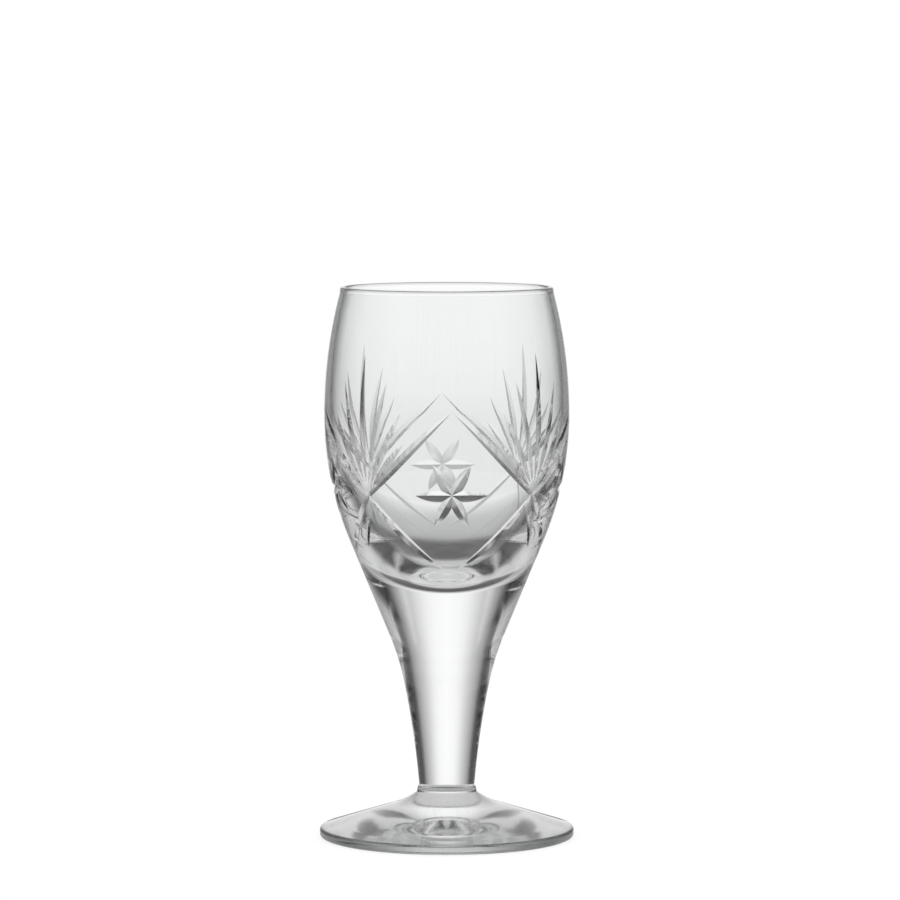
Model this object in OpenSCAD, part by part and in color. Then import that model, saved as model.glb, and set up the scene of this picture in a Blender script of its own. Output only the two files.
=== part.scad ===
// Stemmed red wine glass with a cut bowl: bowl, stem, collar and foot fused one on another.
// Millimetres, +Z up. The origin is the middle of the ring that the foot stands on.
// The middle of one cut panel faces -Y.

/* [Bowl] */
// height of the bowl, from its seat on the stem to the lip
bowl_h = 104; // [92:1:125]
// largest radius of the bowl
belly_r = 36.6; // [33:0.1:42]
// height of the widest part above the seat
belly_up = 66; // [58:1:72]
// radius of the side's curve above the widest part
upper_arc_r = 142; // [100:1:250]
// radius of the side's curve below the widest part
lower_arc_r = 98; // [80:1:130]
// lean of the conical base from upright, in degrees
base_lean = 22.6; // [18:0.1:26]
// wall thickness at the lip
lip_wall = 1.2; // [0.9:0.1:2]
// how far the melted lip is thicker than the wall under it
lip_swell = 0.06; // [0.04:0.02:0.3]
// wall thickness at the widest part of the cavity
belly_wall = 1.8; // [1.6:0.1:3]
// how far the cavity is widest above the bowl's own widest part
cavity_up = 3; // [0:0.5:10]
// solid glass between the seat and the cavity's floor
base_h = 16; // [10:0.5:30]
// radius of the cavity's rounded floor
floor_r = 24; // [16:0.5:28]

/* [Cut pattern] */
// panels round the bowl
panels = 4; // [3:1:5]
// height of a panel's top point above the seat
apex_up = 69.1; // [62:0.1:76]
// height above the seat at which neighbouring panels' lines cross
cross_up = 44.3; // [38:0.1:50]
// height of a panel's bottom point above the seat
tip_up = 22; // [14:0.1:30]
// angle, at the axis, from a panel's middle to the end of a lower line
tip_turn = 4; // [2:0.5:10]
// angle, at the axis, by which a line runs on past a crossing
run_on = 5; // [2:0.5:8]
// half the angle of the edge of the wheel that cuts the upper lines, in degrees
upper_half = 52; // [42:1:58]
// half the angle of the lower lines' wheel
lower_half = 66; // [56:1:68]
// half the angle of the star's wheel
petal_half = 59; // [50:1:62]
// half the angle of the fans' wheel
blade_half = 62; // [50:1:64]
// depth of a panel's upper lines
upper_cut = 1.05; // [0.5:0.05:1.3]
// depth of a panel's lower lines
lower_cut = 0.6; // [0.3:0.05:0.8]
// petals of the star in a panel
petals = 6; // [5:1:8]
// distance from the star's middle to a petal's tip
star_r = 10.8; // [7:0.2:13]
// distance from the star's middle to a petal's near end
star_eye = 0.9; // [0.6:0.1:2]
// depth of a petal
petal_cut = 1.05; // [0.5:0.05:1.2]
// blades on each side of a fan's middle blade
side_blades = 3; // [1:1:3]
// length of a fan from the crossing to the tip of its middle blade
fan_h = 42.5; // [35:0.5:46]
// how much shorter each blade is than the one before it
blade_step = 7.4; // [5:0.1:10]
// lean between one blade and the next, in degrees
blade_lean = 13.3; // [9:0.1:14]
// distance from the crossing to a blade's near end
fan_eye = 3; // [2.5:0.5:8]
// depth of a blade
blade_cut = 0.6; // [0.3:0.05:0.7]

/* [Stem] */
// height of the stem between the collar and the bowl
stem_h = 45.5; // [36:0.5:60]
// radius of the stem where it stands on the collar
stem_r = 8.25; // [6:0.05:12]
// lean of the stem's side there from upright, in degrees
stem_lean = 5; // [1:0.5:7]

/* [Collar] */
// height of the collar between the foot and the stem
collar_h = 2; // [1.4:0.1:4]
// how far the collar's widest part stands out from the stem
collar_out = 0.65; // [0.3:0.05:1.2]
// width of the ledge that the collar leaves round the stem
collar_ledge = 0.1; // [0.05:0.05:0.25]
// height of the collar's widest part above the foot
collar_low = 0.4; // [0.1:0.1:0.8]

/* [Foot] */
// radius of the foot
foot_r = 38.1; // [30:0.1:46]
// height of the foot, from the table to the collar
foot_h = 13.5; // [10:0.1:20]
// thickness of the foot at its edge
edge_h = 2.7; // [2:0.1:4]
// radius of the edge's two corners
edge_round = 1; // [0.4:0.1:1.3]
// width of the sweep from the conical top up to the collar
sweep_out = 7; // [4:0.5:12]
// how far the sweep lifts the top above the cone at the collar
sweep_up = 1.5; // [0.6:0.1:3]
// width of the flat ring that the foot stands on
rest_w = 7; // [3:0.5:12]
// height at its middle of the shallow hollow inside that ring
hollow_h = 0.5; // [0.3:0.1:3]

/* [Hidden] */
$fn = 240;
// facets round the small rounded edges, in a whole turn of a cutting wheel, and round the hollow's wide curve
edge_fn = 36;
wheel_fn = 480;
hollow_fn = 3600;
// how far a curve laps over the next one, and how far the stem's upper curve is opened out,
// so that two curves cross where they would only touch
lap = 0.01;
knee_open = 1.006;
collar_z = foot_h;
stem_z = collar_z + collar_h;
seat_z = stem_z + stem_h;
rim_z = seat_z + bowl_h;
belly_z = seat_z + belly_up;
// the side's lower curve runs into the conical base at this height and radius
cone_z = belly_z - lower_arc_r * sin(base_lean);
cone_r = belly_r - lower_arc_r * (1 - cos(base_lean));
seat_r = cone_r - (cone_z - seat_z) * tan(base_lean);
// the cavity: a curve up to the lip, a curve down from its widest part, a round floor
lip_r = (lip_wall + lip_swell) / 2;
lip_z = rim_z - lip_r;
lip_mid_r = side_r(lip_z) - lip_wall / 2;
cavity_z = belly_z + cavity_up;
cavity_r = side_r(cavity_z) - belly_wall;
cavity_in = cavity_r - lip_mid_r + lip_wall / 2;
cavity_rise = lip_z - cavity_z;
cavity_up_arc = (cavity_rise * cavity_rise + cavity_in * cavity_in) / (2 * cavity_in);
floor_z = seat_z + base_h;
floor_drop = cavity_z - floor_z - floor_r;
cavity_low_arc = (cavity_r * cavity_r + floor_drop * floor_drop - floor_r * floor_r)
    / (2 * (cavity_r - floor_r));
floor_turn = atan2(floor_drop, cavity_low_arc - cavity_r);
floor_end_z = floor_z + floor_r * (1 - sin(floor_turn));
// the stem's two hollow curves run into each other at the lean of a straight line from end to end
stem_in = seat_r - stem_r;
knee_lean = atan2(stem_in, stem_h);
knee_tall = sin(base_lean) - sin(knee_lean);
knee_wide = cos(knee_lean) - cos(base_lean);
waist_tall = sin(knee_lean) - sin(stem_lean);
waist_wide = cos(stem_lean) - cos(knee_lean);
arcs_det = knee_tall * waist_wide - knee_wide * waist_tall;
knee_arc_r = knee_open * (stem_h * waist_wide - stem_in * waist_tall) / arcs_det;
waist_arc_r = (knee_tall * stem_in - knee_wide * stem_h) / arcs_det;
knee_x = seat_r + knee_arc_r * cos(base_lean);
knee_y = seat_z - knee_arc_r * sin(base_lean);
waist_x = stem_r + waist_arc_r * cos(stem_lean);
waist_y = stem_z - waist_arc_r * sin(stem_lean);
waist_z = waist_y + waist_arc_r * sin(knee_lean);
// the collar's rounded side passes from the ledge round the stem to the foot
collar_r = stem_r + collar_out;
collar_in = collar_out - collar_ledge;
collar_rise = collar_h - collar_low;
collar_arc_r = (collar_rise * collar_rise + collar_in * collar_in) / (2 * collar_in);
collar_x = collar_r - collar_arc_r;
collar_foot_r = collar_x + sqrt(collar_arc_r * collar_arc_r - collar_low * collar_low);
// the foot's edge, cone, sweep up to the collar, and hollow
foot_rise = atan2(foot_h - sweep_up - edge_h, foot_r - collar_foot_r);
edge_x = foot_r - edge_round;
edge_top_z = edge_h - edge_round * (1 - sin(foot_rise)) / cos(foot_rise);
sweep_r = collar_foot_r + sweep_out;
sweep_z = edge_h + (foot_r - sweep_r) * tan(foot_rise);
sweep_tall = foot_h - sweep_z;
sweep_mid_r = collar_foot_r + sweep_out / 2;
sweep_mid_z = edge_h + (foot_r - sweep_mid_r) * tan(foot_rise) + lap;
edge_lap_r = edge_round - lap;
sweep_arc_r = (sweep_out * sweep_out + sweep_tall * sweep_tall) / (2 * sweep_up * cos(foot_rise));
hollow_r = edge_x - rest_w;
hollow_arc_r = (hollow_r * hollow_r + hollow_h * hollow_h) / (2 * hollow_h);
// the cut pattern
apex_z = seat_z + apex_up;
cross_z = seat_z + cross_up;
tip_z = seat_z + tip_up;
half_panel = 180 / panels;
line_fall = (apex_z - cross_z) / half_panel;
lower_fall = (cross_z - tip_z) / (half_panel - tip_turn);
// how far a cutting wheel stands clear of the glass, and how far it runs past a cut's ends
wheel_clear = 1;
wheel_run = 1.12;
// how far a helper shape runs past the outline that trims it
spare = 1;
clear_glass = [0.86, 0.9, 0.93];

// outside radius of the bowl at a height
function side_r(z) = z > belly_z
    ? belly_r - upper_arc_r + sqrt(upper_arc_r * upper_arc_r - (z - belly_z) * (z - belly_z))
    : z > cone_z
    ? belly_r - lower_arc_r + sqrt(lower_arc_r * lower_arc_r - (z - belly_z) * (z - belly_z))
    : cone_r - (cone_z - z) * tan(base_lean);

// angle by which the bowl's outside faces up at a height
function side_tilt(z) = z > belly_z
    ? asin((z - belly_z) / upper_arc_r)
    : -min(base_lean, asin(min(1, (belly_z - z) / lower_arc_r)));

// point on the bowl's outside, the turn measured from the front
function on_side(turn, z) = [side_r(z) * sin(turn), -side_r(z) * cos(turn), z];

// direction straight out of the glass at that point
function outward(turn, z) = [
    cos(side_tilt(z)) * sin(turn),
    -cos(side_tilt(z)) * cos(turn),
    sin(side_tilt(z))
];

function unit(v) = v / norm(v);

// turn and height of a point at a distance and lean from a point on the bowl's outside
function from(turn, z, reach, lean) = [
    turn + reach * sin(lean) / side_r(z) * 180 / PI,
    z + reach * cos(lean) * cos(side_tilt(z))
];

// wheel that cuts a leaf-shaped groove from one turn and height to another
module wheel(a, b, depth, edge) {
    p = on_side(a[0], a[1]);
    q = on_side(b[0], b[1]);
    mid = (a + b) / 2;
    out = outward(mid[0], mid[1]);
    along = unit(q - p);
    up = unit(out - (out * along) * along);
    half = norm(q - p) / 2;
    rise = (on_side(mid[0], mid[1]) - depth * out - (p + q) / 2) * up;
    way = rise < 0 ? -1 : 1;
    r = (half * half + rise * rise) / (2 * abs(rise));
    sweep = asin(half / r) * wheel_run;
    x = way * up;
    z = cross(x, along);
    c = (p + q) / 2 + (rise - way * r) * up;
    far = r + way * (depth + wheel_clear);
    open = (depth + wheel_clear) * tan(edge);
    multmatrix([
        [x[0], along[0], z[0], c[0]],
        [x[1], along[1], z[1], c[1]],
        [x[2], along[2], z[2], c[2]]
    ])
        rotate([0, 0, -sweep])
            rotate_extrude(angle = 2 * sweep, $fn = wheel_fn)
                polygon([[r, 0], [far, open], [far, -open]]);
}

// lines round one panel: the upper pair run on past the crossings, the lower pair run to points
module panel_lines() {
    for (side = [-1, 1]) {
        wheel(
            [0, apex_z],
            [side * (half_panel + run_on), cross_z - run_on * line_fall],
            upper_cut,
            upper_half
        );
        wheel(
            [side * (half_panel + run_on), cross_z + run_on * lower_fall],
            [side * tip_turn, tip_z],
            lower_cut,
            lower_half
        );
    }
}

// star in the middle of one panel
module panel_star() {
    for (i = [0 : petals - 1]) {
        lean = 90 + i * 360 / petals;
        wheel(
            from(0, cross_z, star_eye, lean),
            from(0, cross_z, star_r, lean),
            petal_cut,
            petal_half
        );
    }
}

// fan of blades that stands on one crossing
module fan() {
    for (i = [-side_blades : side_blades]) {
        wheel(
            from(half_panel, cross_z, fan_eye, i * blade_lean),
            from(half_panel, cross_z, fan_h - abs(i) * blade_step, i * blade_lean),
            blade_cut,
            blade_half
        );
    }
}

module cuts() {
    for (i = [0 : panels - 1]) {
        rotate([0, 0, i * 360 / panels]) {
            panel_lines();
            panel_star();
            fan();
        }
    }
}

// part of a disc between two heights, its outermost point given
module slice(x, y, r, z0, z1) {
    intersection() {
        translate([x, y])
            translate([-r, 0])
                circle(r);
        translate([0, z0])
            square([x + spare, z1 - z0]);
    }
}

module bowl_outside() {
    slice(belly_r, belly_z, upper_arc_r, belly_z, lip_z);
    slice(belly_r, belly_z, lower_arc_r, (seat_z + cone_z) / 2, belly_z);
    polygon([[0, seat_z], [seat_r, seat_z], [cone_r - lap, cone_z], [0, cone_z]]);
}

module bowl_cavity() {
    floor_lap_r = floor_r + lap;
    slice(cavity_r, cavity_z, cavity_up_arc, cavity_z, rim_z);
    slice(cavity_r, cavity_z, cavity_low_arc, floor_end_z, cavity_z);
    slice(floor_lap_r, floor_z + floor_lap_r, floor_lap_r, floor_z, floor_end_z + spare);
}

module bowl_section() {
    difference() {
        bowl_outside();
        bowl_cavity();
    }
    translate([lip_mid_r, lip_z])
        circle(lip_r, $fn = edge_fn);
}

// part of a square left of a hollow curve between two heights
module hollow_slice(x, y, r, z0, z1, wide) {
    difference() {
        translate([0, z0])
            square([wide, z1 - z0]);
        translate([x, y])
            circle(r);
    }
}

module stem_section() {
    hollow_slice(knee_x, knee_y, knee_arc_r, waist_z, seat_z, seat_r + spare);
    hollow_slice(waist_x, waist_y, waist_arc_r, stem_z, (waist_z + seat_z) / 2, seat_r + spare);
}

module foot_section() {
    difference() {
        union() {
            translate([edge_x, edge_round])
                circle(edge_round, $fn = edge_fn);
            translate([edge_x, edge_top_z])
                circle(edge_round, $fn = edge_fn);
            polygon([
                [0, 0],
                [edge_x, 0],
                [foot_r, edge_round],
                [foot_r, edge_top_z],
                [edge_x + edge_lap_r * sin(foot_rise), edge_top_z + edge_lap_r * cos(foot_rise)],
                [sweep_mid_r, sweep_mid_z],
                [0, sweep_mid_z]
            ]);
            hollow_slice(
                sweep_r + sweep_arc_r * sin(foot_rise),
                sweep_z + sweep_arc_r * cos(foot_rise),
                sweep_arc_r,
                sweep_z - spare,
                foot_h,
                sweep_r
            );
        }
        translate([0, hollow_h - hollow_arc_r])
            circle(hollow_arc_r, $fn = hollow_fn);
    }
}

module bowl() {
    color(clear_glass)
        difference() {
            rotate_extrude()
                bowl_section();
            cuts();
        }
}

module stem() {
    color(clear_glass)
        rotate_extrude()
            stem_section();
}

module collar() {
    color(clear_glass)
        rotate_extrude()
            union() {
                slice(collar_r, collar_z + collar_low, collar_arc_r, collar_z, stem_z);
                translate([0, collar_z])
                    square([max(stem_r, collar_x), collar_h]);
            }
}

module foot() {
    color(clear_glass)
        rotate_extrude()
            foot_section();
}

bowl();
stem();
collar();
foot();
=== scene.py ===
"""Looks of a stemmed red wine glass of cut glass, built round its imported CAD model.

Sizes are millimetres and degrees, as in the solids, and become metres where a mesh is made.
"""

import sys
import logging
import math
from dataclasses import dataclass, field
from enum import Enum
from functools import reduce

import bpy
import numpy as np
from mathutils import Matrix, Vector


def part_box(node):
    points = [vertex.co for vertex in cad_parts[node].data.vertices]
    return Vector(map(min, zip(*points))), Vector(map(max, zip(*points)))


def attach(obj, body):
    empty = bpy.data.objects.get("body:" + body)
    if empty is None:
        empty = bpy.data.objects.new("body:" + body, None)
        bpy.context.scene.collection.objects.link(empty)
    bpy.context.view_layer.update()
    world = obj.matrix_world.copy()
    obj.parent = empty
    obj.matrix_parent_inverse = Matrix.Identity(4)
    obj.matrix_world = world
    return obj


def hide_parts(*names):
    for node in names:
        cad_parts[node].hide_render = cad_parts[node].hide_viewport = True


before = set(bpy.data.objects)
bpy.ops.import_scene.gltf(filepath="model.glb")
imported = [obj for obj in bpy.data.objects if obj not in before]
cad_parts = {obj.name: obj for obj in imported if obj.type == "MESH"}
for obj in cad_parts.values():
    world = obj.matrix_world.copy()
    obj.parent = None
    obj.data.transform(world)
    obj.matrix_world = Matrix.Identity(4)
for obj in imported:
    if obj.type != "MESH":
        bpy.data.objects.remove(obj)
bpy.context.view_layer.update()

MM = 0.001
CLOSE = 1e-6
GLASS_BOUNCES = 40
MIRROR_BOUNCES = 24
LOG = logging.getLogger("wine_glass")

Pair = tuple[float, float]
Stops = tuple[Pair, ...]
Colour = tuple[float, float, float, float]


def sin(angle: float) -> float:
    """Sine of an angle in degrees."""
    return math.sin(math.radians(angle))


def cos(angle: float) -> float:
    """Cosine of an angle in degrees."""
    return math.cos(math.radians(angle))


def tan(angle: float) -> float:
    """Tangent of an angle in degrees."""
    return math.tan(math.radians(angle))


def unit(v: np.ndarray) -> np.ndarray:
    """A vector, or each of several, at length 1."""
    return v / np.linalg.norm(v, axis=-1, keepdims=True)


def height_of(node: str, top: bool = False) -> float:
    """Height in millimetres of the bottom of a CAD node, or of its top."""
    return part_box(node)[1 if top else 0].z / MM


# Outlines


class Surface(Enum):
    """What a stretch of an outline is on the finished glass, in the order of Workshop.shade's finishes."""

    POLISHED = "fire-polished outside"
    JOINT = "fused joint inside the glass"
    WORN = "underside, dulled by tables"
    # Painted shade: the foot's round edge gets dark grey glass.
    EDGE = "edge of the foot, where the glass shows its own tint"


@dataclass(frozen=True)
class Run:
    """Smooth stretch of a half outline, walked with the glass on the left.

    Attributes:
        points: Radius and height of each point.
        normals: Direction out of the glass at each point, in the same plane.
        surface: What the stretch is on the finished glass.
    """

    points: np.ndarray
    normals: np.ndarray
    surface: Surface = Surface.POLISHED

    def __add__(self, other: "Run") -> "Run":
        """This stretch and one that goes on from its end, as one smooth stretch."""
        skip = 1 if np.allclose(self.points[-1], other.points[0], atol=CLOSE) else 0
        return Run(
            np.vstack((self.points, other.points[skip:])),
            np.vstack((self.normals, other.normals[skip:])),
            self.surface,
        )


def line(start: Pair, end: Pair, steps: int = 1, surface: Surface = Surface.POLISHED) -> Run:
    """Straight stretch of an outline.

    Args:
        start: Radius and height of its first point.
        end: Radius and height of its last point.
        steps: How many rows of faces it gets.
        surface: What it is on the finished glass.

    Returns:
        The stretch.
    """
    way = unit(np.subtract(end, start))
    normals = np.tile((way[1], -way[0]), (steps + 1, 1))
    return Run(np.linspace(start, end, steps + 1), normals, surface)


def arc(
    centre: Pair,
    radius: float,
    start: float,
    end: float,
    steps: int,
    surface: Surface = Surface.POLISHED,
) -> Run:
    """Round stretch of an outline: it bulges out of the glass if its angle grows, and is hollow otherwise.

    Args:
        centre: Radius and height of the arc's centre.
        radius: The arc's radius.
        start: Angle of its first point, up from the level direction out.
        end: Angle of its last point.
        steps: How many rows of faces it gets.
        surface: What it is on the finished glass.

    Returns:
        The stretch.
    """
    angles = np.radians(np.linspace(start, end, steps + 1))
    spokes = np.column_stack((np.cos(angles), np.sin(angles)))
    return Run(np.array(centre) + radius * spokes, spokes * np.sign(end - start), surface)


class Outline:
    """Closed half outline of a lathed piece, from the axis round to the axis.

    CHUNK is how many spots are looked up in one go, to spare memory.
    """

    CHUNK = 20_000

    def __init__(self, runs: list[Run]) -> None:
        """Joins the stretches up.

        Args:
            runs: The stretches in order, each starting where the last one ended.
        """
        self.runs = runs
        self.starts = np.vstack([r.points[:-1] for r in runs])
        self.ends = np.vstack([r.points[1:] for r in runs])
        self.start_normals = np.vstack([r.normals[:-1] for r in runs])
        self.end_normals = np.vstack([r.normals[1:] for r in runs])
        self.owner = np.repeat(np.arange(len(runs)), [len(r.points) - 1 for r in runs])

    def rows(self) -> np.ndarray:
        """Radius and height of every point, once each."""
        return np.vstack((self.starts, self.ends[-1:]))

    def _nearest(self, spots: np.ndarray, owner: np.ndarray | None) -> tuple[np.ndarray, np.ndarray]:
        """Nearest piece of the outline to each spot, and how far along it.

        Args:
            spots: Radius and height of each spot.
            owner: The stretch to look in for each spot, or None to look in all.

        Returns:
            The piece's number for each spot, and the share of its length.
        """
        span = self.ends - self.starts
        off = spots[:, None] - self.starts
        share = ((off * span).sum(-1) / (span * span).sum(-1)).clip(0, 1)
        gap = np.linalg.norm(off - share[..., None] * span, axis=-1)
        if owner is not None:
            gap[self.owner != owner[:, None]] = np.inf
        best = gap.argmin(axis=1)
        return best, share[np.arange(len(spots)), best]

    def owners_at(self, spots: np.ndarray) -> np.ndarray:
        """Number of the stretch nearest to each spot of radius and height."""
        parts = [spots[i : i + self.CHUNK] for i in range(0, len(spots), self.CHUNK)]
        return np.concatenate([self.owner[self._nearest(p, None)[0]] for p in parts])

    def normals_at(self, spots: np.ndarray, owners: np.ndarray) -> np.ndarray:
        """Direction out of the glass at spots on the outline.

        Args:
            spots: Radius and height of each spot.
            owners: The stretch that each spot is on.

        Returns:
            The radial and upward part of each direction.
        """
        made = []
        for i in range(0, len(spots), self.CHUNK):
            best, share = self._nearest(spots[i : i + self.CHUNK], owners[i : i + self.CHUNK])
            share = share[:, None]
            made.append(unit(self.start_normals[best] * (1 - share) + self.end_normals[best] * share))
        return np.concatenate(made)


# Node trees


class Tree:
    """Node tree made in code, with short ways to place and wire its nodes."""

    def __init__(self, tree: bpy.types.NodeTree) -> None:
        """Takes a tree and empties it."""
        self.tree = tree
        tree.nodes.clear()

    def add(self, kind: str, inputs: dict | None = None, **settings: object) -> bpy.types.Node:
        """Places a node.

        Args:
            kind: The node's type.
            inputs: Values or output sockets for its inputs, by name or number.
            settings: The node's own settings.

        Returns:
            The node.
        """
        node = self.tree.nodes.new(kind)
        for name, value in settings.items():
            setattr(node, name, value)
        for key, value in (inputs or {}).items():
            if isinstance(value, bpy.types.NodeSocket):
                self.tree.links.new(value, node.inputs[key])
            else:
                node.inputs[key].default_value = value
        return node

    def math(self, operation: str, *values: object) -> bpy.types.NodeSocket:
        """Output of a Math node on values or output sockets."""
        return self.add("ShaderNodeMath", dict(enumerate(values)), operation=operation).outputs[0]

    def most(self, *values: object) -> bpy.types.NodeSocket:
        """Largest of several values or output sockets."""
        return reduce(lambda a, b: self.math("MAXIMUM", a, b), values)


class Group(Tree):
    """Node group with named inputs and outputs."""

    def __init__(self, name: str, kind: str) -> None:
        """Makes an empty group.

        Args:
            name: The group's name.
            kind: Its type, such as GeometryNodeTree.
        """
        super().__init__(bpy.data.node_groups.new(name, kind))
        self.start = self.add("NodeGroupInput")
        self.end = self.add("NodeGroupOutput")

    def take(self, name: str, kind: str, default: float | None = None) -> bpy.types.NodeSocket:
        """Adds an input.

        Args:
            name: The input's name.
            kind: Its socket type.
            default: Its value where none is set.

        Returns:
            The socket that carries it inside the group.
        """
        socket = self.tree.interface.new_socket(name, in_out="INPUT", socket_type=kind)
        if default is not None:
            socket.default_value = default
        return self.start.outputs[name]

    def give(self, name: str, kind: str, value: bpy.types.NodeSocket) -> None:
        """Adds an output fed by a socket."""
        self.tree.interface.new_socket(name, in_out="OUTPUT", socket_type=kind)
        self.tree.links.new(value, self.end.inputs[name])


def lathe_tree() -> bpy.types.NodeTree:
    """Tree that turns a row of points into a closed solid round Z.

    Returns:
        A tree with inputs Outline, Rows, Segments and Finish.
    """
    g = Group("lathe", "GeometryNodeTree")
    outline = g.take("Outline", "NodeSocketGeometry")
    rows = g.take("Rows", "NodeSocketInt", 2)
    segments = g.take("Segments", "NodeSocketInt", 8)
    finish = g.take("Finish", "NodeSocketMaterial")
    spokes = g.math("ADD", segments, 1)
    index = g.add("GeometryNodeInputIndex").outputs[0]
    row = g.math("FLOOR", g.math("DIVIDE", g.math("ADD", index, 0.5), spokes))
    spoke = g.math("SUBTRACT", index, g.math("MULTIPLY", row, spokes))
    turn = g.math("DIVIDE", g.math("MULTIPLY", spoke, -math.tau), segments)
    grid = g.add("GeometryNodeMeshGrid", {"Vertices X": rows, "Vertices Y": spokes})
    place = g.add("GeometryNodeInputPosition").outputs[0]
    point = g.add(
        "GeometryNodeSampleIndex",
        {"Geometry": outline, "Value": place, "Index": row},
        data_type="FLOAT_VECTOR",
    )
    turned = g.add(
        "ShaderNodeVectorRotate", {"Vector": point.outputs[0], "Angle": turn}, rotation_type="Z_AXIS"
    )
    wall = g.add("GeometryNodeSetPosition", {"Geometry": grid.outputs[0], "Position": turned.outputs[0]})
    closed = g.add("GeometryNodeMergeByDistance", {"Geometry": wall.outputs[0], "Distance": CLOSE})
    smooth = g.add("GeometryNodeSetShadeSmooth", {"Geometry": closed.outputs[0]})
    real = g.add("GeometryNodeRealizeInstances", {"Geometry": smooth.outputs[0]})
    dressed = g.add("GeometryNodeSetMaterial", {"Geometry": real.outputs[0], "Material": finish})
    g.give("Solid", "NodeSocketGeometry", dressed.outputs[0])
    return g.tree


def wheel_cut_tree() -> bpy.types.NodeTree:
    """Tree that repeats one panel's cutting wheels round Z and takes them out of a solid.

    Returns:
        A tree with inputs Solid, Wheels, Panels, Finish and Cut Finish.
    """
    g = Group("wheel_cuts", "GeometryNodeTree")
    solid = g.take("Solid", "NodeSocketGeometry")
    wheels = g.take("Wheels", "NodeSocketObject")
    panels = g.take("Panels", "NodeSocketInt", 4)
    finish = g.take("Finish", "NodeSocketMaterial")
    cut_finish = g.take("Cut Finish", "NodeSocketMaterial")
    one = g.add("GeometryNodeObjectInfo", {"Object": wheels}).outputs["Geometry"]
    marked = g.add(
        "GeometryNodeStoreNamedAttribute",
        {"Geometry": one, "Name": CutPattern.MARK, "Value": True},
        data_type="BOOLEAN",
        domain="FACE",
    )
    spots = g.add("GeometryNodePoints", {"Count": panels})
    index = g.add("GeometryNodeInputIndex").outputs[0]
    turn = g.math("DIVIDE", g.math("MULTIPLY", index, math.tau), panels)
    rotation = g.add("ShaderNodeCombineXYZ", {"Z": turn})
    ring = g.add(
        "GeometryNodeInstanceOnPoints",
        {"Points": spots.outputs[0], "Instance": marked.outputs[0], "Rotation": rotation.outputs[0]},
    )
    whole = g.add("GeometryNodeRealizeInstances", {"Geometry": ring.outputs[0]})
    island = g.add("GeometryNodeInputMeshIsland").outputs["Island Index"]
    apart = g.add(
        "GeometryNodeSplitToInstances", {0: whole.outputs[0], "Group ID": island}, domain="FACE"
    )
    cut = g.add(
        "GeometryNodeMeshBoolean",
        {"Mesh 1": solid, "Mesh 2": apart.outputs[0]},
        operation="DIFFERENCE",
        solver="MANIFOLD",
    )
    smooth = g.add("GeometryNodeSetShadeSmooth", {"Geometry": cut.outputs["Mesh"]})
    real = g.add("GeometryNodeRealizeInstances", {"Geometry": smooth.outputs[0]})
    body = g.add("GeometryNodeSetMaterial", {"Geometry": real.outputs[0], "Material": finish})
    mark = g.add("GeometryNodeInputNamedAttribute", {"Name": CutPattern.MARK}, data_type="BOOLEAN")
    facets = g.add(
        "GeometryNodeSetMaterial",
        {"Geometry": body.outputs[0], "Selection": mark.outputs[0], "Material": cut_finish},
    )
    g.give("Solid", "NodeSocketGeometry", facets.outputs[0])
    return g.tree


def shaped_by(piece: bpy.types.Object, tree: bpy.types.NodeTree, **values: object) -> bpy.types.Object:
    """Runs a Geometry Nodes tree on an object and keeps the result as its plain mesh.

    Args:
        piece: The object, whose mesh goes into the tree.
        tree: The tree.
        values: The tree's inputs by name, with _ for a space.

    Returns:
        The same object.
    """
    modifier = piece.modifiers.new(tree.name, "NODES")
    modifier.node_group = tree
    for item in tree.interface.items_tree:
        name = item.name.replace(" ", "_")
        if item.item_type == "SOCKET" and item.in_out == "INPUT" and name in values:
            modifier[item.identifier] = values[name]
    graph = bpy.context.evaluated_depsgraph_get()
    mesh = bpy.data.meshes.new_from_object(piece.evaluated_get(graph), depsgraph=graph)
    mesh.name = piece.name
    piece.modifiers.clear()
    piece.data = mesh
    return piece


def new_object(name: str, points: np.ndarray, faces: list[list[int]]) -> bpy.types.Object:
    """Puts an object with a mesh in the scene.

    Args:
        name: The object's name.
        points: The mesh's points in millimetres.
        faces: The numbers of each face's points.

    Returns:
        The object.
    """
    mesh = bpy.data.meshes.new(name)
    mesh.from_pydata((points * MM).tolist(), [], faces)
    piece = bpy.data.objects.new(name, mesh)
    bpy.context.scene.collection.objects.link(piece)
    return piece


def read(
    items: bpy.types.bpy_prop_collection, name: str, width: int = 1, kind: type = float
) -> np.ndarray:
    """Reads one property of all items of a mesh.

    Args:
        items: The items, such as the mesh's vertices.
        name: The property.
        width: How many numbers it has.
        kind: The numbers' type.

    Returns:
        The numbers, in a row for each item where there are several.
    """
    values = np.empty(len(items) * width, kind)
    items.foreach_get(name, values)
    return values.reshape(-1, width) if width > 1 else values


# Finishes


LINE_STRETCH = (0.06, 0.06, 1.0)
LINE_HEIGHT = 0.05


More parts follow.
